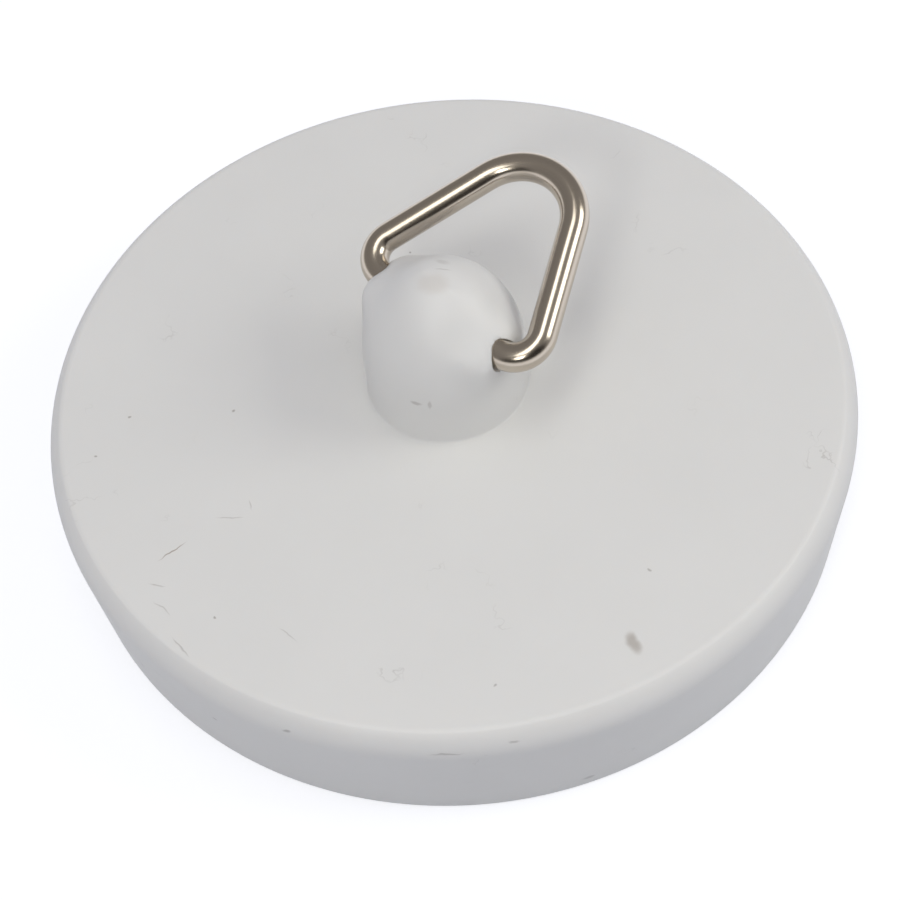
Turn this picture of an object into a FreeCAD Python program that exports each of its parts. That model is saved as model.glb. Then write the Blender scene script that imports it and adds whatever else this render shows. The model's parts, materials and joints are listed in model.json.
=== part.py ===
"""Sink plug: a moulded body with a domed and lugged boss, and a wire triangle that swings in the boss.

The frame stands on the plug's foot, centred, with +Z up. The wire's hinge axis lies along X.
Sizes are in millimetres and angles in degrees.
"""
import FreeCAD, Part

import math
import os

# Skirt and top face
TOP_DIAMETER = 45.5
FOOT_DIAMETER = 44.5
RIM_HEIGHT = 8.1
RIM_RADIUS = 1.9
RIM_CREASE = 36.0
CROWN_HEIGHT = 0.35
FOOT_EDGE_RADIUS = 0.4

# Hollow underside
SKIRT_WALL = 2.6
TOP_WALL = 2.9
HOLLOW_DRAFT = 3.0
HOLLOW_CORNER_RADIUS = 1.2

# Boss
BOSS_DIAMETER = 9.0
BOSS_HEIGHT = 8.4
DOME_HEIGHT = 5.85
BOSS_FOOT_RADIUS = 0.3

# Lugs that carry the bore's mouths out from the dome, measured from the bore's axis and the boss's axis
LUG_WIDTH = 4.4
LUG_RISE = 1.15
LUG_DROP = 2.05
LUG_REACH = 4.55
LUG_SHOULDER_DROP = 0.3

# Cross bore through the boss and its lugs, with flared mouths
BORE_ABOVE_TOP = 5.5
BORE_CLEARANCE = 0.05
MOUTH_FLARE = 12.0
MOUTH_LEAD = 0.1

# Wire triangle
WIRE_DIAMETER = 1.6
END_GAP = 1.0
BEND_INSET = 0.3
END_BEND_RADIUS = 1.45
APEX_BEND_RADIUS = 3.35
LOOP_HEIGHT = 9.8
REST_LEAN = 71.5

# Worked out from the sizes above
TOP_RADIUS = TOP_DIAMETER / 2
FOOT_RADIUS = FOOT_DIAMETER / 2
BOSS_RADIUS = BOSS_DIAMETER / 2
WIRE_RADIUS = WIRE_DIAMETER / 2
BORE_RADIUS = WIRE_RADIUS + BORE_CLEARANCE
CROWN_TOP = RIM_HEIGHT + CROWN_HEIGHT
DOME_TIP = CROWN_TOP + BOSS_HEIGHT
DOME_BASE = DOME_TIP - DOME_HEIGHT
HINGE_Z = CROWN_TOP + BORE_ABOVE_TOP
LUG_FOOT = HINGE_Z - LUG_DROP
LUG_SHOULDER = HINGE_Z - LUG_SHOULDER_DROP
QUARTER_TURN = math.pi / 2
FULL_TURN_DEGREES = 360

X_AXIS = FreeCAD.Vector(1, 0, 0)
Y_AXIS = FreeCAD.Vector(0, 1, 0)
Z_AXIS = FreeCAD.Vector(0, 0, 1)
ORIGIN = FreeCAD.Vector(0, 0, 0)
HINGE = FreeCAD.Vector(0, 0, HINGE_Z)
SHANK_START = X_AXIS * (END_GAP / 2)


def at(x, z):
    """A point of the XZ plane, where the plug's half section and the upright wire are drawn."""
    return FreeCAD.Vector(x, 0, z)


def around(centre, radius, angle):
    """The point of a circle at an angle in radians, from +X towards +Z."""
    return centre + at(radius * math.cos(angle), radius * math.sin(angle))


def arc(centre, radius, start, end):
    """A circular arc from one angle to another, in radians."""
    middle = around(centre, radius, (start + end) / 2)
    return Part.Arc(around(centre, radius, start), middle, around(centre, radius, end)).toShape()


def joined(arcs):
    """The arcs in order, with straight runs that join each end to the next start."""
    edges = [arcs[0]]
    for following in arcs[1:]:
        start = edges[-1].lastVertex(True).Point
        end = following.firstVertex(True).Point
        if start.distanceToPoint(end) > Part.Precision.confusion():
            edges.append(Part.LineSegment(start, end).toShape())
        edges.append(following)
    return edges


def rim_arcs():
    """The foot's outer edge and the rim, tangent to the skirt that leans out between them."""
    crease_angle = QUARTER_TURN - math.radians(RIM_CREASE)
    rim_centre = at(TOP_RADIUS - RIM_RADIUS, RIM_HEIGHT - RIM_RADIUS * math.sin(crease_angle))
    reach = math.hypot(rim_centre.x - FOOT_RADIUS, rim_centre.z)
    backward = math.atan2(FOOT_RADIUS - rim_centre.x, rim_centre.z)
    taper = math.asin(RIM_RADIUS / reach) - backward
    edge_out = FOOT_RADIUS + FOOT_EDGE_RADIUS * (math.tan(taper) - 1 / math.cos(taper))
    foot_edge = arc(at(edge_out, FOOT_EDGE_RADIUS), FOOT_EDGE_RADIUS, -QUARTER_TURN, -taper)
    rim = arc(rim_centre, RIM_RADIUS, -taper, crease_angle)
    return foot_edge, rim


def crown_arcs(rim_edge):
    """The crowned top face from the rim's edge inwards, and the small fillet at the boss's foot."""
    crown_radius = (rim_edge.x ** 2 + CROWN_HEIGHT ** 2) / (2 * CROWN_HEIGHT)
    crown_centre = at(0, CROWN_TOP - crown_radius)
    fillet_x = BOSS_RADIUS + BOSS_FOOT_RADIUS
    fillet_up = math.acos(fillet_x / (crown_radius + BOSS_FOOT_RADIUS))
    fillet_centre = around(crown_centre, crown_radius + BOSS_FOOT_RADIUS, fillet_up)
    rim_up = math.atan2(rim_edge.z - crown_centre.z, rim_edge.x)
    crown = arc(crown_centre, crown_radius, rim_up, fillet_up)
    fillet = arc(fillet_centre, BOSS_FOOT_RADIUS, fillet_up - math.pi, -math.pi)
    return crown, fillet


def dome_curve(radius, base):
    """An exact quarter ellipse from a side that ends at a base height up to the boss's tip."""
    curve = Part.BezierCurve()
    curve.setPoles([at(radius, base), at(radius, DOME_TIP), at(0, DOME_TIP)])
    curve.setWeight(2, math.cos(math.pi / 4))
    return curve.toShape()


def hollow_corner():
    """The rounded corner between the underside's ceiling and the drafted inner wall."""
    draft = math.radians(HOLLOW_DRAFT)
    centre_z = RIM_HEIGHT - TOP_WALL - HOLLOW_CORNER_RADIUS
    wall_x = FOOT_RADIUS - SKIRT_WALL - centre_z * math.tan(draft)
    centre = at(wall_x - HOLLOW_CORNER_RADIUS / math.cos(draft), centre_z)
    return arc(centre, HOLLOW_CORNER_RADIUS, QUARTER_TURN, draft)


def lugs():
    """Both lugs: an arched bar along X, rounded off at its ends by a dome fuller than the boss's."""
    corners = [at(0, DOME_TIP), at(0, LUG_FOOT), at(LUG_REACH, LUG_FOOT), at(LUG_REACH, LUG_SHOULDER)]
    half_dome = Part.Wire([dome_curve(LUG_REACH, LUG_SHOULDER)] + Part.makePolygon(corners).Edges)
    fuller_dome = Part.Face(half_dome).revolve(ORIGIN, Z_AXIS, FULL_TURN_DEGREES)
    front = HINGE - X_AXIS * LUG_REACH - Y_AXIS * (LUG_WIDTH / 2)
    back = front + Y_AXIS * LUG_WIDTH
    top = HINGE - X_AXIS * LUG_REACH + Z_AXIS * LUG_RISE
    drop = Z_AXIS * LUG_DROP
    arch = Part.Arc(front, top, back).toShape()
    sides = Part.makePolygon([back, back - drop, front - drop, front])
    bar = Part.Face(Part.Wire([arch] + sides.Edges)).extrude(X_AXIS * (2 * LUG_REACH))
    return bar.common(fuller_dome)


def lug_reach_at_hinge():
    """How far the lugs reach from the boss's axis at the height of the bore."""
    rise = LUG_SHOULDER_DROP / (DOME_TIP - LUG_SHOULDER)
    return LUG_REACH * math.sqrt(1 - rise ** 2)


def cross_bore():
    """The bore along X, with a cone at each mouth that leaves room for the wire's bend."""
    mouth_start = lug_reach_at_hinge() - BEND_INSET - MOUTH_LEAD
    mouth_end = LUG_REACH + WIRE_DIAMETER
    mouth_length = mouth_end - mouth_start
    mouth_radius = BORE_RADIUS + mouth_length * math.tan(math.radians(MOUTH_FLARE))
    bore = Part.makeCylinder(BORE_RADIUS, 2 * mouth_end, HINGE - X_AXIS * mouth_end, X_AXIS)
    for side in (X_AXIS, -X_AXIS):
        mouth = Part.makeCone(BORE_RADIUS, mouth_radius, mouth_length, HINGE + side * mouth_start, side)
        bore = bore.fuse(mouth)
    return bore


def plug_body():
    """The whole moulding, turned from its half section, with its lugs, and cross-bored for the wire."""
    foot_edge, rim = rim_arcs()
    crown, fillet = crown_arcs(rim.lastVertex(True).Point)
    corner = hollow_corner()
    outside = joined([foot_edge, rim, crown, fillet, dome_curve(BOSS_RADIUS, DOME_BASE)])
    ceiling_end = corner.firstVertex(True).Point
    wall_foot = at(FOOT_RADIUS - SKIRT_WALL, 0)
    ceiling = Part.makePolygon([at(0, DOME_TIP), at(0, ceiling_end.z), ceiling_end])
    wall = Part.makePolygon([corner.lastVertex(True).Point, wall_foot, foot_edge.firstVertex(True).Point])
    section = Part.Wire(outside + ceiling.Edges + [corner] + wall.Edges)
    turned = Part.Face(section).revolve(ORIGIN, Z_AXIS, FULL_TURN_DEGREES)
    return turned.fuse(lugs()).cut(cross_bore())


def wire_path():
    """The wire's centre line, upright: an end in the bore, a bend, a leg, the apex, and the same back."""
    shank_end = lug_reach_at_hinge() - BEND_INSET
    bend_centre = HINGE + at(shank_end, END_BEND_RADIUS)
    apex_centre = HINGE + at(0, LOOP_HEIGHT - APEX_BEND_RADIUS)
    between = apex_centre - bend_centre
    slope = math.atan2(between.z, between.x)
    leg_side = slope - QUARTER_TURN + math.asin((END_BEND_RADIUS - APEX_BEND_RADIUS) / between.Length)
    right_bend = arc(bend_centre, END_BEND_RADIUS, -QUARTER_TURN, leg_side)
    apex = arc(apex_centre, APEX_BEND_RADIUS, leg_side, math.pi - leg_side)
    left_bend_centre = HINGE + at(-shank_end, END_BEND_RADIUS)
    left_bend = arc(left_bend_centre, END_BEND_RADIUS, math.pi - leg_side, math.pi + QUARTER_TURN)
    right_shank = Part.LineSegment(HINGE + SHANK_START, right_bend.firstVertex(True).Point).toShape()
    left_shank = Part.LineSegment(left_bend.lastVertex(True).Point, HINGE - SHANK_START).toShape()
    return Part.Wire(joined([right_shank, right_bend, apex, left_bend, left_shank]))


def wire_triangle():
    """Round wire along its path, leant over from upright towards +Y."""
    path = wire_path()
    section = Part.Wire(Part.makeCircle(WIRE_RADIUS, HINGE + SHANK_START, X_AXIS))
    wire = path.makePipeShell([section], True, False)
    expected = math.pi * WIRE_RADIUS ** 2 * path.Length
    print(f"wire {path.Length:.2f} mm long, volume {wire.Volume:.3f} of {expected:.3f} mm3")
    return wire.rotate(HINGE, X_AXIS, -REST_LEAN)


os.makedirs("parts", exist_ok=True)
for name, make in (("plug_body", plug_body), ("wire_triangle", wire_triangle)):
    shape = make()
    shape.exportStep(f"parts/{name}.step")
    box = shape.optimalBoundingBox()
    print(f"{name}: valid {shape.isValid()}, {len(shape.Solids)} solid, {shape.Volume:.1f} mm3,"
          f" {box.XLength:.2f} x {box.YLength:.2f} x {box.ZLength:.2f} mm")
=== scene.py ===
# %% [markdown]
# A sink plug: one white moulding with a domed boss, and a wire triangle that swings in the boss.
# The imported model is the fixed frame, in metres, with +Z up and the plug's foot on the floor.
# Both pieces are modelled again here, on the same sizes, with the small marks of moulding and use.

# %% Load the frame
import json
import math

import bpy
from mathutils import Matrix, Vector


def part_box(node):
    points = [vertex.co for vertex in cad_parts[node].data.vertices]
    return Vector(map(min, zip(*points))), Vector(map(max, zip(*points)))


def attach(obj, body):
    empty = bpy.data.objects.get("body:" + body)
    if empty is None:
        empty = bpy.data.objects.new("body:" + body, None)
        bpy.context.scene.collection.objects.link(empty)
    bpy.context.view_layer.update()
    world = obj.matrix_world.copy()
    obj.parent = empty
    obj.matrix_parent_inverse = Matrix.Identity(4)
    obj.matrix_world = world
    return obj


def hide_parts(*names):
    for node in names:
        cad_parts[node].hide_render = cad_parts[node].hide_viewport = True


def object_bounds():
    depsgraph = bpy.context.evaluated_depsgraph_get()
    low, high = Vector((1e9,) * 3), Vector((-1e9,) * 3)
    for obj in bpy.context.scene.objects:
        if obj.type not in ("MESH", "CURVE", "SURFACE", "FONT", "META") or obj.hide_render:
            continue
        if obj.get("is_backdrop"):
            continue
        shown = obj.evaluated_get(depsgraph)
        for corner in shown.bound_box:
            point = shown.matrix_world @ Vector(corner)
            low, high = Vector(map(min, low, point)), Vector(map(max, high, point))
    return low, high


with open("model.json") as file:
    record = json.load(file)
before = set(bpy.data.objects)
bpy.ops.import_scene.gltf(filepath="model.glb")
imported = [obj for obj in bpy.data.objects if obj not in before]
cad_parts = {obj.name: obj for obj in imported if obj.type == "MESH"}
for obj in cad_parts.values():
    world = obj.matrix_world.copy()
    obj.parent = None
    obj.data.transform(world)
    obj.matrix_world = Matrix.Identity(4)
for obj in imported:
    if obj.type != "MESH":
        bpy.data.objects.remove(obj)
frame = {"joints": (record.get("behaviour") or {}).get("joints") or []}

MM = 0.001
cad_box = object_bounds()
body_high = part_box("plug_body")[1]
hinge = Vector(frame["joints"][0]["pos_m"])
print("frame in mm:", [[round(side / MM, 2) for side in corner] for corner in cad_box])

# %% [markdown]
# The camera looks down on the plug from beside the boss, as a person at the sink would.
# Its angles come from the outline of the rim, the crease of the top face and the boss.
# It was held a little turned, so the picture has a roll, and it stands close, so the near side looks larger.

# %% Camera
CAMERA_TURN = math.radians(47.4)
CAMERA_ELEVATION = math.radians(54.85)
CAMERA_ROLL = math.radians(6.52)
CAMERA_DISTANCE = 118.3 * MM
CAMERA_LENS = 79.74
AIM_RIGHT = -0.463 * MM
AIM_UP = 0.771 * MM

photo_right = Vector((math.cos(CAMERA_TURN), math.sin(CAMERA_TURN), 0))
photo_front = Vector((math.sin(CAMERA_TURN), -math.cos(CAMERA_TURN), 0))
backward = photo_front * math.cos(CAMERA_ELEVATION) + Vector((0, 0, math.sin(CAMERA_ELEVATION)))
photo_up = backward.cross(photo_right)
rolled = Matrix.Rotation(-CAMERA_ROLL, 3, backward)
aim = rolled @ (photo_right * AIM_RIGHT + photo_up * AIM_UP)
eye = backward * CAMERA_DISTANCE
away = (eye - aim).normalized()
sideways = (rolled @ photo_up).cross(away).normalized()
turned = Matrix((sideways, away.cross(sideways), away)).transposed()

camera = bpy.data.objects.new("camera", bpy.data.cameras.new("camera"))
camera.data.lens = CAMERA_LENS
camera.data.clip_start = MM
camera.matrix_world = Matrix.Translation(eye) @ turned.to_4x4()
bpy.context.scene.collection.objects.link(camera)
bpy.context.scene.camera = camera
print("camera at", [round(value / MM, 1) for value in eye], "mm")

# %% [markdown]
# Finishes and shapes are both trees of nodes, so one small function adds a node to either.
# It takes the node's settings, and links or sets each of its inputs.
# Colours are written as sRGB hex values, and Blender mixes light in linear values.
# A Mix node has its colour sockets under the same names as those for numbers, so they go by their places.

# %% Helpers for trees of nodes
COLOUR_A, COLOUR_B, COLOUR_OUT = 6, 7, 2


def add(tree, kind, inputs=(), **settings):
    """Adds a node with its settings. A socket given as an input is linked, and any other value is set."""
    node = tree.nodes.new(kind)
    for name, value in settings.items():
        setattr(node, name, value)
    for place, value in dict(inputs).items():
        if isinstance(value, bpy.types.NodeSocket):
            tree.links.new(value, node.inputs[place])
        else:
            node.inputs[place].default_value = value
    return node


def linear(hex_colour):
    """A colour written as sRGB hex, in linear values with full alpha."""
    shares = [int(hex_colour[start:start + 2], 16) / 255 for start in (1, 3, 5)]
    return [s / 12.92 if s <= 0.04045 else ((s + 0.055) / 1.055) ** 2.4 for s in shares] + [1.0]


def per_metre(size_in_mm):
    """The scale of a texture whose pattern repeats about once in this size."""
    return 1 / (size_in_mm * MM)


WHITE = linear("#FFFFFF")
print("white is", WHITE)

# %% [markdown]
# The plug is plasticised PVC, moulded white. It is slightly soft and slightly see-through at its skin,
# so light goes in a little and its shading is gentle, with a broad satin gleam and no sharp reflection.
# The colour drifts a few shades, and the skin has the faint unevenness of an ordinary steel mould.

# %% Moulded PVC
PVC_COLOURS = ("#E4E4E1", "#DFDFDC")
PVC_ROUGHNESS = (0.42, 0.52)
LIGHT_DEPTH = 0.8
MOTTLE_SIZE = 7.0
SKIN_SIZE = 0.9
SKIN_DEPTH = 0.004

moulded_pvc = bpy.data.materials.new("moulded_white_pvc")
moulded_pvc.use_nodes = True
pvc = moulded_pvc.node_tree
pvc_surface = pvc.nodes["Principled BSDF"]
pvc_surface.inputs["IOR"].default_value = 1.53
pvc_surface.inputs["Subsurface Weight"].default_value = 0.3
pvc_surface.inputs["Subsurface Radius"].default_value = (1.0, 0.9, 0.8)
pvc_surface.inputs["Subsurface Scale"].default_value = LIGHT_DEPTH * MM

pvc_place = add(pvc, "ShaderNodeTexCoord").outputs["Object"]
mottle = add(pvc, "ShaderNodeTexNoise", {
    "Vector": pvc_place, "Scale": per_metre(MOTTLE_SIZE), "Detail": 3.0}).outputs["Fac"]
pvc_colour = add(pvc, "ShaderNodeMix", {
    "Factor": mottle, COLOUR_A: linear(PVC_COLOURS[0]), COLOUR_B: linear(PVC_COLOURS[1])},
    data_type="RGBA").outputs[COLOUR_OUT]
skin = add(pvc, "ShaderNodeTexNoise", {
    "Vector": pvc_place, "Scale": per_metre(SKIN_SIZE), "Detail": 2.0}).outputs["Fac"]
gloss = add(pvc, "ShaderNodeMapRange", {
    "Value": skin, "To Min": PVC_ROUGHNESS[0], "To Max": PVC_ROUGHNESS[1]})
skin_bump = add(pvc, "ShaderNodeBump", {"Height": skin, "Distance": SKIN_DEPTH * MM, "Strength": 1.0})
pvc.links.new(gloss.outputs["Result"], pvc_surface.inputs["Roughness"])
pvc.links.new(skin_bump.outputs["Normal"], pvc_surface.inputs["Normal"])
print(moulded_pvc.name, "has", len(pvc.nodes), "nodes")

# %% [markdown]
# White plastic shows its history. The gate, where the moulding was broken off its runner, is a warm grey
# spot on the dome's tip. Use leaves a stain near the rim, a few specks, and scuffs as fine as a hair.
# They could be painted, but a soft oval for each can be moved by its numbers and needs no picture.
# A mark's row says its middle in mm, its turn in degrees, its half sizes in mm, its colour, and how much
# of that colour covers the white. All are read through a little noise, so edges are ragged and lines waver.

# %% Marks on the PVC
WAVER = 0.22
WAVER_SIZE = 0.9
FULL_WITHIN = 0.3
SCUFF_GREY = "#A5A09A"
WALL_GREY = "#8F8B87"
SPECK_BROWN = "#8D867E"
SPECK = (0.13, 0.10, 0.5)
MARKS = {
    "gate": ((0.0, -0.3, 16.8), 20, (1.2, 0.9, 0.7), "#CFC9C1", 0.4),
    "gate_smudge": ((-0.75, 1.27, 16.5), 15, (0.6, 0.3, 0.5), "#B9B5B0", 0.35),
    "gate_hair": ((-0.3, 0.7, 16.7), 30, (0.6, 0.08, 0.5), "#9C958E", 0.3),
    "boss_nick_left": ((1.73, -4.12, 11.65), 20, (0.4, 0.4, 0.16), "#9F9A94", 0.45),
    "boss_nick_right": ((2.38, -3.8, 11.75), 30, (0.15, 0.4, 0.4), "#A8A39D", 0.4),
    "stain": ((18.61, -6.43, 8.08), -32, (0.9, 0.45, 0.5), "#9E958A", 0.6),
    "brown_hair": ((-3.68, -17.85, 8.2), 79, (1.1, 0.06, 0.5), "#85725F", 0.65),
    "long_scuff": ((-2.73, -14.44, 8.3), 39, (0.9, 0.05, 0.5), SCUFF_GREY, 0.45),
    "short_scuff": ((-2.47, -13.17, 8.3), -33, (0.42, 0.05, 0.5), SCUFF_GREY, 0.4),
    "rim_scuff_a": ((-2.79, -19.83, 8.2), 26, (0.55, 0.05, 0.5), SCUFF_GREY, 0.45),
    "rim_scuff_b": ((-1.58, -20.62, 8.1), -3, (0.8, 0.05, 0.5), SCUFF_GREY, 0.4),
    "rim_scuff_c": ((0.9, -21.6, 8.1), -15, (0.95, 0.06, 0.5), "#A7A29C", 0.5),
    "fork_scuff": ((4.67, -17.45, 8.2), -2, (0.8, 0.05, 0.5), SCUFF_GREY, 0.4),
    "wall_scuff": ((15.14, -16.94, 7.06), 41, (1.05, 0.5, 0.09), WALL_GREY, 0.45),
    "wall_dash": ((17.46, -14.37, 7.46), 50, (0.4, 0.5, 0.08), WALL_GREY, 0.5),
    "wall_ring": ((19.36, -11.1, 1.04), 60, (0.5, 0.5, 0.22), WALL_GREY, 0.4),
    "wall_spot_a": ((-2.65, -22.31, 3.12), -7, (0.16, 0.5, 0.14), WALL_GREY, 0.5),
    "wall_spot_b": ((3.35, -22.3, 4.23), 9, (0.2, 0.5, 0.1), WALL_GREY, 0.5),
    "wall_spot_c": ((8.13, -21.22, 7.14), 21, (0.3, 0.5, 0.1), WALL_GREY, 0.5),
    "speck_a": ((-7.91, 5.39, 8.4), 0, SPECK, SPECK_BROWN, 0.7),
    "speck_b": ((-12.0, -13.26, 8.2), 40, SPECK, SPECK_BROWN, 0.6),
    "speck_c": ((-11.59, -16.3, 8.2), 10, SPECK, SPECK_BROWN, 0.6),
    "speck_d": ((-7.73, -9.37, 8.3), 70, SPECK, SPECK_BROWN, 0.6),
    "speck_e": ((1.05, -19.27, 8.2), 0, SPECK, SPECK_BROWN, 0.6),
    "speck_f": ((16.49, -2.61, 8.2), 30, SPECK, SPECK_BROWN, 0.5),
    "speck_g": ((14.79, -12.8, 8.2), 60, SPECK, SPECK_BROWN, 0.5),
}

waver = add(pvc, "ShaderNodeTexNoise", {
    "Vector": pvc_place, "Scale": per_metre(WAVER_SIZE), "Detail": 2.0}).outputs["Color"]
centred = add(pvc, "ShaderNodeVectorMath", {
    0: waver, 1: (0.5, 0.5, 0.5)}, operation="SUBTRACT").outputs["Vector"]
sway = add(pvc, "ShaderNodeVectorMath", {
    0: centred, "Scale": 2 * WAVER * MM}, operation="SCALE").outputs["Vector"]
wavering = add(pvc, "ShaderNodeVectorMath", {0: pvc_place, 1: sway}, operation="ADD").outputs["Vector"]
for middle, turn, half_sizes, colour, most in MARKS.values():
    oval = add(pvc, "ShaderNodeMapping", {
        "Vector": wavering, "Location": [side * MM for side in middle],
        "Rotation": (0, 0, math.radians(turn)), "Scale": [side * MM for side in half_sizes]},
        vector_type="TEXTURE").outputs["Vector"]
    from_middle = add(pvc, "ShaderNodeVectorMath", {0: oval}, operation="LENGTH").outputs["Value"]
    cover = add(pvc, "ShaderNodeMapRange", {
        "Value": from_middle, "From Min": 1.0, "From Max": FULL_WITHIN, "To Max": most},
        interpolation_type="SMOOTHSTEP").outputs["Result"]
    pvc_colour = add(pvc, "ShaderNodeMix", {
        "Factor": cover, COLOUR_A: pvc_colour, COLOUR_B: linear(colour)},
        data_type="RGBA").outputs[COLOUR_OUT]
print(len(MARKS), "marks,", len(pvc.nodes), "nodes")

# %% [markdown]
# The finest scuffs are curled like threads, and lie in patches here and there all over the plug.
# They are too many to place one by one. So they are the edges of cells that a stronger sway of the same
# noise bends, and a broad noise picks the patches.

# %% Curled scuffs
CURL = 2.2
THREAD_LOOP = 2.4
THREAD_WIDTH = 0.06
THREAD_GREY = "#96918A"
THREAD_COVER = 0.35
PATCH_SIZE = 3.5
PATCH_EDGE = (0.66, 0.76)

curl = add(pvc, "ShaderNodeVectorMath", {0: centred, "Scale": CURL * MM}, operation="SCALE").outputs["Vector"]
curled = add(pvc, "ShaderNodeVectorMath", {0: pvc_place, 1: curl}, operation="ADD").outputs["Vector"]
from_edge = add(pvc, "ShaderNodeTexVoronoi", {
    "Vector": curled, "Scale": per_metre(THREAD_LOOP)}, feature="DISTANCE_TO_EDGE").outputs["Distance"]
threads = add(pvc, "ShaderNodeMapRange", {
    "Value": from_edge, "From Min": THREAD_WIDTH / THREAD_LOOP, "From Max": 0.0}).outputs["Result"]
patch_noise = add(pvc, "ShaderNodeTexNoise", {
    "Vector": pvc_place, "Scale": per_metre(PATCH_SIZE), "Detail": 2.0}).outputs["Fac"]
patches = add(pvc, "ShaderNodeMapRange", {
    "Value": patch_noise, "From Min": PATCH_EDGE[0], "From Max": PATCH_EDGE[1],
    "To Max": THREAD_COVER}).outputs["Result"]
scuffs = add(pvc, "ShaderNodeMath", {0: threads, 1: patches}, operation="MULTIPLY").outputs["Value"]
pvc_colour = add(pvc, "ShaderNodeMix", {
    "Factor": scuffs, COLOUR_A: pvc_colour, COLOUR_B: linear(THREAD_GREY)},
    data_type="RGBA").outputs[COLOUR_OUT]
pvc.links.new(pvc_colour, pvc_surface.inputs["Base Color"])
print(moulded_pvc.name, "is done with", len(pvc.nodes), "nodes")

# %% [markdown]
# The triangle is drawn steel wire with a bright nickel plate. Nickel is warmer than chrome, so its
# darker reflections look brown. Drawing leaves fine lines along the wire, and the plate only softens them.
# The lines follow the wire round its bends, so they read places that the wire's own shape stores.

# %% Nickel-plated wire
NICKEL_COLOURS = ("#CFC6BA", "#C2B7A9")
PLATE_ROUGHNESS = (0.14, 0.28)
DRAWN_LINE_WIDTH = 0.12
DRAWN_LINE_LENGTH = 6.0
DRAWN_LINE_DEPTH = 0.001

nickel_plate = bpy.data.materials.new("nickel_plated_steel_wire")
nickel_plate.use_nodes = True
nickel = nickel_plate.node_tree
nickel_surface = nickel.nodes["Principled BSDF"]
nickel_surface.inputs["Metallic"].default_value = 1.0

around = add(nickel, "ShaderNodeAttribute", attribute_name="around_wire").outputs["Vector"]
along = add(nickel, "ShaderNodeAttribute", attribute_name="along_wire").outputs["Fac"]
shortened = add(nickel, "ShaderNodeMath", {
    0: along, 1: DRAWN_LINE_WIDTH / DRAWN_LINE_LENGTH}, operation="MULTIPLY").outputs["Value"]
lift = add(nickel, "ShaderNodeCombineXYZ", {"Z": shortened}).outputs["Vector"]
wire_place = add(nickel, "ShaderNodeVectorMath", {0: around, 1: lift}, operation="ADD").outputs["Vector"]
drawn_lines = add(nickel, "ShaderNodeTexNoise", {
    "Vector": wire_place, "Scale": per_metre(DRAWN_LINE_WIDTH), "Detail": 3.0}).outputs["Fac"]
plate_tint = add(nickel, "ShaderNodeMix", {
    "Factor": drawn_lines, COLOUR_A: linear(NICKEL_COLOURS[0]), COLOUR_B: linear(NICKEL_COLOURS[1])},
    data_type="RGBA")
plate_gloss = add(nickel, "ShaderNodeMapRange", {
    "Value": drawn_lines, "To Min": PLATE_ROUGHNESS[0], "To Max": PLATE_ROUGHNESS[1]})
line_bump = add(nickel, "ShaderNodeBump", {
    "Height": drawn_lines, "Distance": DRAWN_LINE_DEPTH * MM, "Strength": 1.0})
nickel.links.new(plate_tint.outputs[COLOUR_OUT], nickel_surface.inputs["Base Color"])
nickel.links.new(plate_gloss.outputs["Result"], nickel_surface.inputs["Roughness"])
nickel.links.new(line_bump.outputs["Normal"], nickel_surface.inputs["Normal"])
print(nickel_plate.name, "has", len(nickel.nodes), "nodes")

# %% [markdown]
# Both shapes follow a rule, so each is a tree of geometry nodes that starts from a chain of points.
# The helpers give a tree its named inputs, run it on the chain, and keep the result as a plain mesh.
# Two more draw the chain itself, from round stretches and the straight runs between them.

# %% Helpers for shapes


def new_shape_tree(name, inputs):
    """An empty geometry tree with the chain, the named inputs and the finish coming in."""
    tree = bpy.data.node_groups.new(name, "GeometryNodeTree")
    tree.interface.new_socket("Chain", in_out="INPUT", socket_type="NodeSocketGeometry")
    for title, value in inputs.items():
        kind = "NodeSocketInt" if isinstance(value, int) else "NodeSocketFloat"
        tree.interface.new_socket(title, in_out="INPUT", socket_type=kind)
    tree.interface.new_socket("Finish", in_out="INPUT", socket_type="NodeSocketMaterial")
    tree.interface.new_socket("Shape", in_out="OUTPUT", socket_type="NodeSocketGeometry")
    return tree


def finish_shape_tree(tree, shape, given):
    """The common end of both trees: smooth faces, plain geometry and the finish."""
    smooth = add(tree, "GeometryNodeSetShadeSmooth", {"Geometry": shape})
    plain = add(tree, "GeometryNodeRealizeInstances", {"Geometry": smooth.outputs["Geometry"]})
    finished = add(tree, "GeometryNodeSetMaterial", {
        "Geometry": plain.outputs["Geometry"], "Material": given["Finish"]})
    add(tree, "NodeGroupOutput", {"Shape": finished.outputs["Geometry"]})


def run_shape_tree(tree, name, chain, inputs, finish):
    """Runs the tree on a chain of points in mm, and returns an object with the result as its mesh."""
    start = bpy.data.meshes.new(name + "_chain")
    points = [Vector(point) * MM for point in chain]
    start.from_pydata(points, [(i, i + 1) for i in range(len(points) - 1)], [])
    piece = bpy.data.objects.new(name, start)
    bpy.context.scene.collection.objects.link(piece)
    modifier = piece.modifiers.new("shape", "NODES")
    modifier.node_group = tree
    values = dict(inputs, Finish=finish)
    for socket in tree.interface.items_tree:
        if socket.in_out == "INPUT" and socket.name in values:
            modifier[socket.identifier] = values[socket.name]
    graph = bpy.context.evaluated_depsgraph_get()
    mesh = bpy.data.meshes.new_from_object(piece.evaluated_get(graph), depsgraph=graph)
    mesh.materials.clear()
    mesh.materials.append(finish)
    piece.modifiers.clear()
    piece.data = mesh
    bpy.data.meshes.remove(start)
    return piece


def arc(out, up, radius, start, end, steps, height=None):
    """Points of a round stretch at angles in degrees, or of an elliptic one with a height of its own."""
    height = height or radius
    angles = [math.radians(start + (end - start) * step / steps) for step in range(steps + 1)]
    return [(out + radius * math.cos(a), up + height * math.sin(a)) for a in angles]


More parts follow.
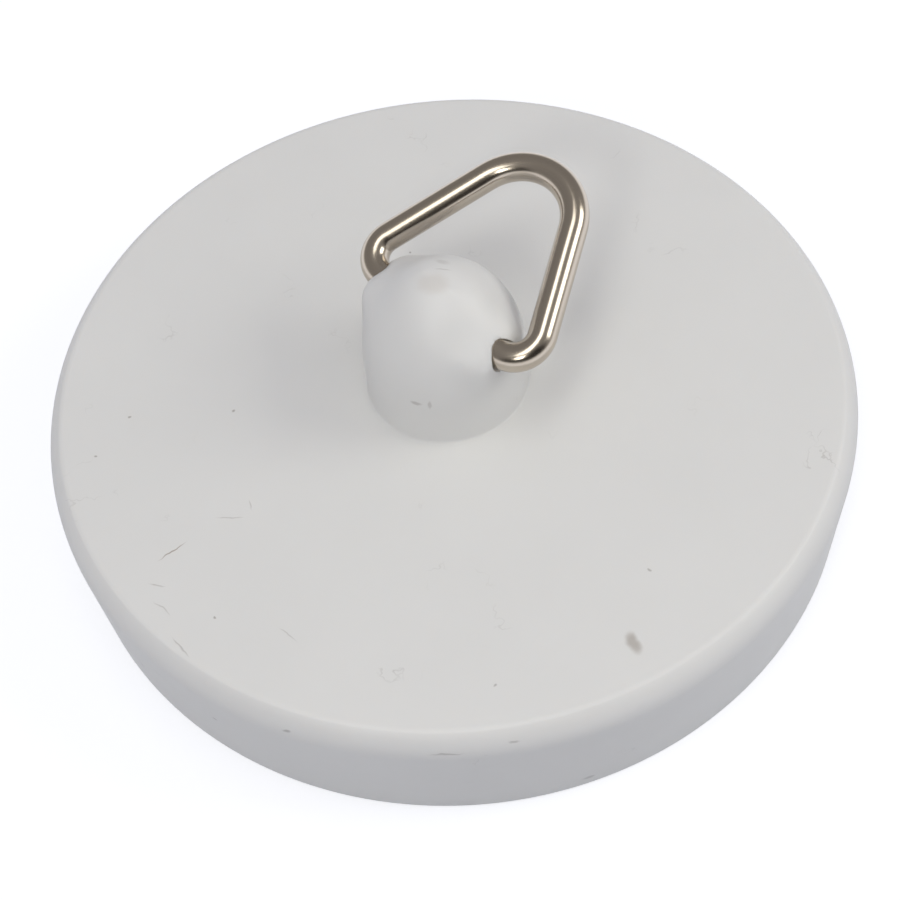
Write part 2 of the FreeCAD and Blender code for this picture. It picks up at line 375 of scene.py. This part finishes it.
def joined(stretches, spacing):
    """The stretches as one row of points, with points along the straight runs between them too."""
    row = list(stretches[0])
    for stretch in stretches[1:]:
        start, end = Vector(row[-1]), Vector(stretch[0])
        steps = max(1, round((end - start).length / spacing))
        row += [tuple(start.lerp(end, step / steps)) for step in range(1, steps + 1)]
        row += stretch[1:]
    return row


print("a quarter arc in two steps:", arc(0, 0, 1, 0, 90, steps=2))

# %% [markdown]
# Apart from its lugs and its bore, the moulding is round at every level, so its half section is drawn once:
# from the hollow underside out to the foot, up the tapered skirt, over the rim and the crowned top,
# and up the boss to its tip. The rim's arc starts at an angle to the top face, which leaves a fine crease.

# %% Half section of the plug
TOP_RADIUS = body_high.x / MM
DOME_TIP = body_high.z / MM
FOOT_RADIUS = 22.25
RIM_HEIGHT = 8.1
RIM_RADIUS = 1.9
RIM_CREASE = 36.0
CROWN_TOP = 8.45
FOOT_EDGE_RADIUS = 0.4
SKIRT_WALL = 2.6
CEILING = 5.2
HOLLOW_DRAFT = 3.0
HOLLOW_CORNER_RADIUS = 1.2
BOSS_RADIUS = 4.5
BOSS_FOOT_RADIUS = 0.15
DOME_HEIGHT = 5.85
SECTION_SPACING = 0.5
DOME_BASE = DOME_TIP - DOME_HEIGHT

rim_out = TOP_RADIUS - RIM_RADIUS
rim_up = RIM_HEIGHT - RIM_RADIUS * math.cos(math.radians(RIM_CREASE))
taper = math.asin(RIM_RADIUS / math.hypot(rim_out - FOOT_RADIUS, rim_up))
taper = math.degrees(taper - math.atan2(FOOT_RADIUS - rim_out, rim_up))
taper_slope = math.tan(math.radians(taper))
edge_out = FOOT_RADIUS + FOOT_EDGE_RADIUS * (taper_slope - math.hypot(taper_slope, 1))
rim_edge = rim_out + RIM_RADIUS * math.sin(math.radians(RIM_CREASE))
crown_rise = CROWN_TOP - RIM_HEIGHT
crown_radius = (rim_edge ** 2 + crown_rise ** 2) / (2 * crown_rise)
crown_centre = CROWN_TOP - crown_radius
crown_start = math.degrees(math.acos(rim_edge / crown_radius))
fillet_out = BOSS_RADIUS + BOSS_FOOT_RADIUS
fillet_reach = crown_radius + BOSS_FOOT_RADIUS
crown_end = math.degrees(math.acos(fillet_out / fillet_reach))
fillet_up = crown_centre + math.sqrt(fillet_reach ** 2 - fillet_out ** 2)
corner_up = CEILING - HOLLOW_CORNER_RADIUS
draft_slope = math.tan(math.radians(HOLLOW_DRAFT))
corner_out = FOOT_RADIUS - SKIRT_WALL - corner_up * draft_slope
corner_out -= HOLLOW_CORNER_RADIUS * math.hypot(draft_slope, 1)

half_section = joined([
    [(0, CEILING)],
    arc(corner_out, corner_up, HOLLOW_CORNER_RADIUS, 90, HOLLOW_DRAFT, steps=8),
    [(FOOT_RADIUS - SKIRT_WALL, 0)],
    arc(edge_out, FOOT_EDGE_RADIUS, FOOT_EDGE_RADIUS, -90, -taper, steps=5),
    arc(rim_out, rim_up, RIM_RADIUS, -taper, 90 - RIM_CREASE, steps=18),
    arc(0, crown_centre, crown_radius, crown_start, crown_end, steps=70),
    arc(fillet_out, fillet_up, BOSS_FOOT_RADIUS, crown_end - 180, -180, steps=6),
    arc(0, DOME_BASE, BOSS_RADIUS, 0, 90, steps=80, height=DOME_HEIGHT)], SECTION_SPACING)
print(len(half_section), "points in the half section, taper", round(taper, 2), "degrees")

# %% [markdown]
# The plug's tree starts by sweeping the half section round a ring, as a lathe would turn it.
# The ring has the boss's radius, so the section is moved in by that much and turned upright on it.
# The points at the two poles are merged, and the faces are turned to look outwards.
# All its sizes are named inputs, so that each can be changed from outside.

# %% Turned shell
BORE_RADIUS = 0.85
MOUTH_START = 4.13
MOUTH_END = 6.15
MOUTH_LENGTH = MOUTH_END - MOUTH_START
MOUTH_FLARE = math.radians(12)
PLUG_INPUTS = {
    "Turn Steps": 320,
    "Ring Radius": BOSS_RADIUS * MM,
    "Weld": 0.001 * MM,
    "Lug Half Width": 1.6 * MM,
    "Lug Reach": 4.52 * MM,
    "Lug Foot": DOME_BASE * MM,
    "Lug Shoulder": hinge.z - 1.0 * MM,
    "Slope Height": hinge.z + 0.45 * MM,
    "Slope Top": hinge.z + 1.5 * MM,
    "Slope": 1.42,
    "Rounding": 0.25 * MM,
    "Softening": 50,
    "Lip Height": 0.1 * MM,
    "Lip Inside": 0.95 * MM,
    "Lip Outside": 1.25 * MM,
    "Bore Height": hinge.z,
    "Bore Radius": BORE_RADIUS * MM,
    "Mouth Start": MOUTH_START * MM,
    "Mouth Length": MOUTH_LENGTH * MM,
    "Mouth Radius": (BORE_RADIUS + MOUTH_LENGTH * math.tan(MOUTH_FLARE)) * MM,
}

plug_tree = new_shape_tree("turned_plug", PLUG_INPUTS)
given = add(plug_tree, "NodeGroupInput").outputs
drawn_section = add(plug_tree, "GeometryNodeMeshToCurve", {"Mesh": given["Chain"]}).outputs["Curve"]
drawn_place = add(plug_tree, "GeometryNodeInputPosition").outputs["Position"]
drawn = add(plug_tree, "ShaderNodeSeparateXYZ", {"Vector": drawn_place}).outputs
down = add(plug_tree, "ShaderNodeMath", {0: drawn["Y"], 1: -1.0}, operation="MULTIPLY").outputs["Value"]
from_ring = add(plug_tree, "ShaderNodeMath", {
    0: drawn["X"], 1: given["Ring Radius"]}, operation="SUBTRACT").outputs["Value"]
section_place = add(plug_tree, "ShaderNodeCombineXYZ", {"X": from_ring, "Y": down}).outputs["Vector"]
section = add(plug_tree, "GeometryNodeSetPosition", {
    "Geometry": drawn_section, "Position": section_place}).outputs["Geometry"]
ring = add(plug_tree, "GeometryNodeCurvePrimitiveCircle", {
    "Resolution": given["Turn Steps"], "Radius": given["Ring Radius"]}).outputs["Curve"]
upright_ring = add(plug_tree, "GeometryNodeSetCurveNormal", {"Curve": ring}, mode="Z_UP").outputs["Curve"]
turned_shell = add(plug_tree, "GeometryNodeCurveToMesh", {
    "Curve": upright_ring, "Profile Curve": section}).outputs["Mesh"]
closed_shell = add(plug_tree, "GeometryNodeMergeByDistance", {
    "Geometry": turned_shell, "Distance": given["Weld"]}).outputs["Geometry"]
outward_shell = add(plug_tree, "GeometryNodeFlipFaces", {"Mesh": closed_shell}).outputs["Mesh"]
print(len(PLUG_INPUTS), "named inputs,", len(plug_tree.nodes), "nodes for the shell")

# %% [markdown]
# Two lugs stand out of the dome and carry the wire. Each has a flat end with a sloped top, and flanks that
# run tangent into the dome. They could be added as blocks, but then the joins would need blending by hand.
# So at each height a point of the dome moves out to the nearer of the flank's line and the end's line, with
# the corner between them rounded off. All four quarters are alike, so one is worked out.

# %% Outline of the lugs
place = add(plug_tree, "GeometryNodeInputPosition").outputs["Position"]
spot = add(plug_tree, "ShaderNodeSeparateXYZ", {"Vector": place}).outputs
level_place = add(plug_tree, "ShaderNodeCombineXYZ", {"X": spot["X"], "Y": spot["Y"]}).outputs["Vector"]
radius = add(plug_tree, "ShaderNodeVectorMath", {0: level_place}, operation="LENGTH").outputs["Value"]
outwards = add(plug_tree, "ShaderNodeVectorMath", {0: level_place}, operation="NORMALIZE").outputs["Vector"]
folded = add(plug_tree, "ShaderNodeVectorMath", {0: level_place}, operation="ABSOLUTE").outputs["Vector"]
quarter = add(plug_tree, "ShaderNodeSeparateXYZ", {"Vector": folded}).outputs
angle = add(plug_tree, "ShaderNodeMath", {
    0: quarter["Y"], 1: quarter["X"]}, operation="ARCTAN2").outputs["Value"]

over_slope = add(plug_tree, "ShaderNodeMath", {
    0: spot["Z"], 1: given["Slope Height"]}, operation="SUBTRACT").outputs["Value"]
inset = add(plug_tree, "ShaderNodeMath", {
    0: over_slope, 1: given["Slope"]}, operation="MULTIPLY").outputs["Value"]
sloped_end = add(plug_tree, "ShaderNodeMath", {
    0: given["Lug Reach"], 1: inset}, operation="SUBTRACT").outputs["Value"]
lug_end = add(plug_tree, "ShaderNodeMath", {
    0: given["Lug Reach"], 1: sloped_end, 2: given["Rounding"]}, operation="SMOOTH_MIN").outputs["Value"]
half_width = add(plug_tree, "ShaderNodeMapRange", {
    "Value": spot["Z"], "From Min": given["Slope Height"], "From Max": given["Slope Top"],
    "To Min": given["Lug Half Width"], "To Max": 0.0}, interpolation_type="SMOOTHSTEP").outputs["Result"]
lug_corner = add(plug_tree, "ShaderNodeCombineXYZ", {"X": lug_end, "Y": half_width}).outputs["Vector"]
corner_radius = add(plug_tree, "ShaderNodeVectorMath", {0: lug_corner}, operation="LENGTH").outputs["Value"]
corner_angle = add(plug_tree, "ShaderNodeMath", {
    0: half_width, 1: lug_end}, operation="ARCTAN2").outputs["Value"]
print(len(plug_tree.nodes), "nodes with the lugs' ends")

# %% [markdown]
# A flank leaves the dome where its line touches the round, so its angle follows from the lug's corner.
# Each lug fades out at its foot, where the dome begins, and a blur along the mesh takes the last edges off.

# %% Height of the lugs
dome_share = add(plug_tree, "ShaderNodeMath", {
    0: radius, 1: corner_radius}, operation="DIVIDE", use_clamp=True).outputs["Value"]
flank_turn = add(plug_tree, "ShaderNodeMath", {0: dome_share}, operation="ARCCOSINE").outputs["Value"]
tangent_angle = add(plug_tree, "ShaderNodeMath", {
    0: corner_angle, 1: flank_turn}, operation="ADD").outputs["Value"]
from_tangent = add(plug_tree, "ShaderNodeMath", {
    0: tangent_angle, 1: angle}, operation="SUBTRACT").outputs["Value"]
on_flank = add(plug_tree, "ShaderNodeMath", {0: from_tangent, 1: 0.0}, operation="MAXIMUM").outputs["Value"]
flank_cosine = add(plug_tree, "ShaderNodeMath", {0: on_flank}, operation="COSINE").outputs["Value"]
flank_radius = add(plug_tree, "ShaderNodeMath", {
    0: radius, 1: flank_cosine}, operation="DIVIDE").outputs["Value"]
end_cosine = add(plug_tree, "ShaderNodeMath", {0: angle}, operation="COSINE").outputs["Value"]
end_radius = add(plug_tree, "ShaderNodeMath", {
    0: lug_end, 1: end_cosine}, operation="DIVIDE").outputs["Value"]
nearer_radius = add(plug_tree, "ShaderNodeMath", {
    0: flank_radius, 1: end_radius, 2: given["Rounding"]}, operation="SMOOTH_MIN").outputs["Value"]
lug_radius = add(plug_tree, "ShaderNodeMath", {
    0: nearer_radius, 1: radius}, operation="MAXIMUM").outputs["Value"]

full_height = add(plug_tree, "ShaderNodeMath", {
    0: lug_radius, 1: radius}, operation="SUBTRACT").outputs["Value"]
foot_fade = add(plug_tree, "ShaderNodeMapRange", {
    "Value": spot["Z"], "From Min": given["Lug Foot"], "From Max": given["Lug Shoulder"]},
    interpolation_type="SMOOTHSTEP").outputs["Result"]
faded_height = add(plug_tree, "ShaderNodeMath", {
    0: full_height, 1: foot_fade}, operation="MULTIPLY").outputs["Value"]
lug_height = add(plug_tree, "GeometryNodeBlurAttribute", {
    "Value": faded_height, "Iterations": given["Softening"]}, data_type="FLOAT").outputs["Value"]
print(len(plug_tree.nodes), "nodes with the lugs' heights")

# %% [markdown]
# Each end of the bore gets a low ragged lip, which is flash that the core pin of the mould leaves.
# It is a ring on the lug's end, with its height from a fine noise. Then lug and lip move the shell outwards.

# %% Lips and raised shell
RAG_SIZE = 0.35

lug_place = add(plug_tree, "ShaderNodeVectorMath", {
    0: outwards, "Scale": lug_radius}, operation="SCALE").outputs["Vector"]
lug_side = add(plug_tree, "ShaderNodeSeparateXYZ", {"Vector": lug_place}).outputs["Y"]
over_bore = add(plug_tree, "ShaderNodeMath", {
    0: spot["Z"], 1: given["Bore Height"]}, operation="SUBTRACT").outputs["Value"]
from_bore = add(plug_tree, "ShaderNodeCombineXYZ", {"X": lug_side, "Y": over_bore}).outputs["Vector"]
bore_distance = add(plug_tree, "ShaderNodeVectorMath", {0: from_bore}, operation="LENGTH").outputs["Value"]
lip_fade = add(plug_tree, "ShaderNodeMapRange", {
    "Value": bore_distance, "From Min": given["Lip Outside"], "From Max": given["Lip Inside"]},
    interpolation_type="SMOOTHSTEP").outputs["Result"]
rag = add(plug_tree, "ShaderNodeTexNoise", {
    "Vector": place, "Scale": per_metre(RAG_SIZE), "Detail": 1.0}).outputs["Fac"]
lip = add(plug_tree, "ShaderNodeMath", {0: lip_fade, 1: rag}, operation="MULTIPLY").outputs["Value"]
lip_height = add(plug_tree, "ShaderNodeMath", {
    0: lip, 1: given["Lip Height"]}, operation="MULTIPLY").outputs["Value"]
raised = add(plug_tree, "ShaderNodeMath", {0: lug_height, 1: lip_height}, operation="ADD").outputs["Value"]
move = add(plug_tree, "ShaderNodeVectorMath", {
    0: outwards, "Scale": raised}, operation="SCALE").outputs["Vector"]
lugged_shell = add(plug_tree, "GeometryNodeSetPosition", {
    "Geometry": outward_shell, "Offset": move}).outputs["Geometry"]
print(len(plug_tree.nodes), "nodes with the lips")

# %% [markdown]
# Last the tree cuts the cross bore through boss and lugs, with a small cone at each mouth for the wire's
# bend. The bore's cutter runs on into both cones, and they start a little narrower than the bore, so no two
# cutters share an edge or an end, and no skin is left across the bore.

# %% Cross bore and plug body
CUTTER_SIDES = 64
CONE_RINGS = 24
CONE_START = 0.98
ALONG_X = math.pi / 2

bore_length = add(plug_tree, "ShaderNodeMath", {
    0: given["Mouth Start"], 1: 2.0, 2: given["Mouth Length"]}, operation="MULTIPLY_ADD").outputs["Value"]
bore = add(plug_tree, "GeometryNodeMeshCylinder", {
    "Vertices": CUTTER_SIDES, "Radius": given["Bore Radius"], "Depth": bore_length}).outputs["Mesh"]
bore_centre = add(plug_tree, "ShaderNodeCombineXYZ", {"Z": given["Bore Height"]}).outputs["Vector"]
cutters = [add(plug_tree, "GeometryNodeTransform", {
    "Geometry": bore, "Translation": bore_centre, "Rotation": (0, ALONG_X, 0)})]
inside_bore = add(plug_tree, "ShaderNodeMath", {
    0: given["Bore Radius"], 1: CONE_START}, operation="MULTIPLY").outputs["Value"]
mouth = add(plug_tree, "GeometryNodeMeshCone", {
    "Vertices": CUTTER_SIDES, "Side Segments": CONE_RINGS, "Radius Top": given["Mouth Radius"],
    "Radius Bottom": inside_bore, "Depth": given["Mouth Length"]}).outputs["Mesh"]
for side in (-1, 1):
    mouth_out = add(plug_tree, "ShaderNodeMath", {
        0: given["Mouth Start"], 1: side}, operation="MULTIPLY").outputs["Value"]
    mouth_foot = add(plug_tree, "ShaderNodeCombineXYZ", {
        "X": mouth_out, "Z": given["Bore Height"]}).outputs["Vector"]
    cutters.append(add(plug_tree, "GeometryNodeTransform", {
        "Geometry": mouth, "Translation": mouth_foot, "Rotation": (0, side * ALONG_X, 0)}))
bored = add(plug_tree, "GeometryNodeMeshBoolean", {
    "Mesh 1": lugged_shell}, operation="DIFFERENCE", solver="MANIFOLD")
for cutter in cutters:
    plug_tree.links.new(cutter.outputs["Geometry"], bored.inputs["Mesh 2"])
finish_shape_tree(plug_tree, bored.outputs["Mesh"], given)

plug_chain = [(out, up, 0) for out, up in half_section]
plug = run_shape_tree(plug_tree, "moulded_plug", plug_chain, PLUG_INPUTS, moulded_pvc)
print(plug.name, len(plug.data.polygons), "faces,", len(plug.data.materials), "finish")

# %% [markdown]
# The wire triangle is one length of wire: an end in the bore, a bend, a leg, the round apex and the same
# back. Its path is drawn upright and leant over to rest, and the tree sweeps a round section along it.
# The sweep also stores how far along and where around the wire each point is, for the drawn lines.

# %% Wire triangle
WIRE_RADIUS = 0.8
END_GAP = 1.0
SHANK_END = 4.23
END_BEND_RADIUS = 1.45
APEX_BEND_RADIUS = 3.35
LOOP_HEIGHT = 9.8
REST_LEAN = math.radians(71.5)
PATH_SPACING = 0.25
WIRE_INPUTS = {"Wire Radius": WIRE_RADIUS * MM, "Section Steps": 48}

apex_up = LOOP_HEIGHT - APEX_BEND_RADIUS
bend_line = math.atan2(apex_up - END_BEND_RADIUS, -SHANK_END)
bend_distance = math.hypot(apex_up - END_BEND_RADIUS, SHANK_END)
leg_turn = math.asin((END_BEND_RADIUS - APEX_BEND_RADIUS) / bend_distance)
leg_side = math.degrees(bend_line + leg_turn) - 90
wire_path = joined([
    [(END_GAP / 2, 0)],
    arc(SHANK_END, END_BEND_RADIUS, END_BEND_RADIUS, -90, leg_side, steps=30),
    arc(0, apex_up, APEX_BEND_RADIUS, leg_side, 180 - leg_side, steps=48),
    arc(-SHANK_END, END_BEND_RADIUS, END_BEND_RADIUS, 180 - leg_side, 270, steps=30),
    [(-END_GAP / 2, 0)]], PATH_SPACING)
lean_out, lean_up = math.sin(REST_LEAN), math.cos(REST_LEAN)
leant_path = [(across, up * lean_out, hinge.z / MM + up * lean_up) for across, up in wire_path]

wire_tree = new_shape_tree("swept_wire", WIRE_INPUTS)
given = add(wire_tree, "NodeGroupInput").outputs
path = add(wire_tree, "GeometryNodeMeshToCurve", {"Mesh": given["Chain"]}).outputs["Curve"]
path_length = add(wire_tree, "GeometryNodeSplineParameter").outputs["Length"]
measured_path = add(wire_tree, "GeometryNodeStoreNamedAttribute", {
    "Geometry": path, "Name": "along_wire", "Value": path_length}).outputs["Geometry"]
wire_section = add(wire_tree, "GeometryNodeCurvePrimitiveCircle", {
    "Resolution": given["Section Steps"], "Radius": given["Wire Radius"]}).outputs["Curve"]
section_place = add(wire_tree, "GeometryNodeInputPosition").outputs["Position"]
measured_section = add(wire_tree, "GeometryNodeStoreNamedAttribute", {
    "Geometry": wire_section, "Name": "around_wire", "Value": section_place},
    data_type="FLOAT_VECTOR").outputs["Geometry"]
swept = add(wire_tree, "GeometryNodeCurveToMesh", {
    "Curve": measured_path, "Profile Curve": measured_section, "Fill Caps": True}).outputs["Mesh"]
finish_shape_tree(wire_tree, swept, given)
wire_triangle = run_shape_tree(wire_tree, "plated_wire_triangle", leant_path, WIRE_INPUTS, nickel_plate)
print(wire_triangle.name, len(wire_triangle.data.polygons), "faces")

# %% [markdown]
# The floor is white paper. Its matt colour is a pale blue-grey, which keeps the light that it throws back up
# at the skirt low and cool. To the camera and to mirrors it also glows, so it reads as white, and it still
# takes the plug's shadow. It lies a hair below the foot, so that the two faces don't fight.

# %% Floor
FLOOR_HALF = 1.5
FLOOR_DROP = 0.01 * MM
PAPER_MATT = "#A8ABB3"
PAPER_GLOW = 0.7

corners = [(FLOOR_HALF * x, FLOOR_HALF * y, -FLOOR_DROP) for x, y in ((-1, -1), (1, -1), (1, 1), (-1, 1))]
floor_mesh = bpy.data.meshes.new("floor")
floor_mesh.from_pydata(corners, [], [(0, 1, 2, 3)])
floor = bpy.data.objects.new("floor", floor_mesh)
bpy.context.scene.collection.objects.link(floor)
floor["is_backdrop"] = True
white_paper = bpy.data.materials.new("white_paper")
white_paper.use_nodes = True
paper = white_paper.node_tree
paper.nodes.clear()
floor.data.materials.append(white_paper)


def seen_directly(tree):
    """1 for rays from the camera and for reflected and refracted ones, and 0 for bounced light."""
    rays = add(tree, "ShaderNodeLightPath").outputs
    mirrored = add(tree, "ShaderNodeMath", {
        0: rays["Is Glossy Ray"], 1: rays["Is Transmission Ray"]}, operation="MAXIMUM").outputs["Value"]
    return add(tree, "ShaderNodeMath", {
        0: rays["Is Camera Ray"], 1: mirrored}, operation="MAXIMUM").outputs["Value"]


matt = add(paper, "ShaderNodeBsdfDiffuse", {"Color": linear(PAPER_MATT)}).outputs["BSDF"]
glow_seen = add(paper, "ShaderNodeMath", {
    0: seen_directly(paper), 1: PAPER_GLOW}, operation="MULTIPLY").outputs["Value"]
glow = add(paper, "ShaderNodeEmission", {"Color": WHITE, "Strength": glow_seen}).outputs["Emission"]
paper_sum = add(paper, "ShaderNodeAddShader", {0: matt, 1: glow}).outputs["Shader"]
add(paper, "ShaderNodeOutputMaterial", {"Surface": paper_sum})
print("floor", 2 * FLOOR_HALF, "m wide")

# %% [markdown]
# The light is soft: one long softbox overhead that runs from front to back, a small one at the front
# that puts the gleam on the boss, and one at the right. The wire shows them as bright lines along its legs,
# and the brown bands between are the dim room.

# %% Softboxes
SOFTBOXES = {
    "overhead": {"right": -0.10, "front": 0.16, "up": 0.98, "size": (0.14, 0.34), "watts": 0.41},
    "front": {"right": -0.28, "front": 0.72, "up": 0.66, "size": (0.07, 0.07), "watts": 0.22},
    "right_side": {"right": 0.80, "front": 0.02, "up": 0.60, "size": (0.20, 0.16), "watts": 0.40},
}
SOFTBOX_DISTANCE = 0.40
LAMP_WHITE = "#FFFDF5"

for name, box in SOFTBOXES.items():
    lamp = bpy.data.lights.new(name, "AREA")
    lamp.shape = "RECTANGLE"
    lamp.size, lamp.size_y = box["size"]
    lamp.energy = box["watts"]
    lamp.color = linear(LAMP_WHITE)[:3]
    towards = photo_right * box["right"] + photo_front * box["front"] + Vector((0, 0, box["up"]))
    softbox = bpy.data.objects.new(name, lamp)
    softbox.location = towards.normalized() * SOFTBOX_DISTANCE
    softbox.rotation_euler = towards.to_track_quat("Z", "Y").to_euler()
    bpy.context.scene.collection.objects.link(softbox)
print(len(SOFTBOXES), "softboxes")

# %% [markdown]
# The room round the softboxes gives the light that comes from everywhere. The camera and mirrors see it as
# white walls near the horizon and a dim grey ceiling above, darker at the front, where the viewer stands.

# %% Room
AMBIENT_COLOUR = "#F2F2FF"
AMBIENT_STRENGTH = 0.46
CEILING_GREY = "#8A8785"
VIEWER_DARK = "#2C2825"
CEILING_EDGE = (0.03, 0.2)
VIEWER_EDGE = (0.4, 0.7)

room = bpy.data.worlds.new("room")
bpy.context.scene.world = room
room.use_nodes = True
air = room.node_tree
air.nodes.clear()
look = add(air, "ShaderNodeTexCoord").outputs["Generated"]
look_up = add(air, "ShaderNodeSeparateXYZ", {"Vector": look}).outputs["Z"]
look_front = add(air, "ShaderNodeVectorMath", {
    0: look, 1: photo_front}, operation="DOT_PRODUCT").outputs["Value"]
ceiling_share = add(air, "ShaderNodeMapRange", {
    "Value": look_up, "From Min": CEILING_EDGE[0], "From Max": CEILING_EDGE[1]},
    interpolation_type="SMOOTHSTEP").outputs["Result"]
viewer_share = add(air, "ShaderNodeMapRange", {
    "Value": look_front, "From Min": VIEWER_EDGE[0], "From Max": VIEWER_EDGE[1]},
    interpolation_type="SMOOTHSTEP").outputs["Result"]
ceiling = add(air, "ShaderNodeMix", {
    "Factor": viewer_share, COLOUR_A: linear(CEILING_GREY), COLOUR_B: linear(VIEWER_DARK)},
    data_type="RGBA").outputs[COLOUR_OUT]
walls = add(air, "ShaderNodeMix", {
    "Factor": ceiling_share, COLOUR_A: WHITE, COLOUR_B: ceiling}, data_type="RGBA").outputs[COLOUR_OUT]
ambient = add(air, "ShaderNodeBackground", {"Color": linear(AMBIENT_COLOUR), "Strength": AMBIENT_STRENGTH})
room_seen = add(air, "ShaderNodeBackground", {"Color": walls})
mixed = add(air, "ShaderNodeMixShader", {
    0: seen_directly(air), 1: ambient.outputs["Background"], 2: room_seen.outputs["Background"]})
add(air, "ShaderNodeOutputWorld", {"Surface": mixed.outputs["Shader"]})
bpy.context.scene.view_settings.view_transform = "Standard"
print(room.name, "has", len(air.nodes), "nodes")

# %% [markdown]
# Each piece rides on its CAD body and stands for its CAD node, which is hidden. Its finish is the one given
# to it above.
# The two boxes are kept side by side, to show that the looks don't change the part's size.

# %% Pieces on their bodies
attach(plug, "plug")
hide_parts("plug_body")
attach(wire_triangle, "wire_loop")
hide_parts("wire_triangle")

sizes = {"cad": [list(corner) for corner in cad_box], "visual": [list(corner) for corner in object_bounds()]}
for name, box in sizes.items():
    print(name, "box in mm:", [[round(side / MM, 2) for side in corner] for corner in box])
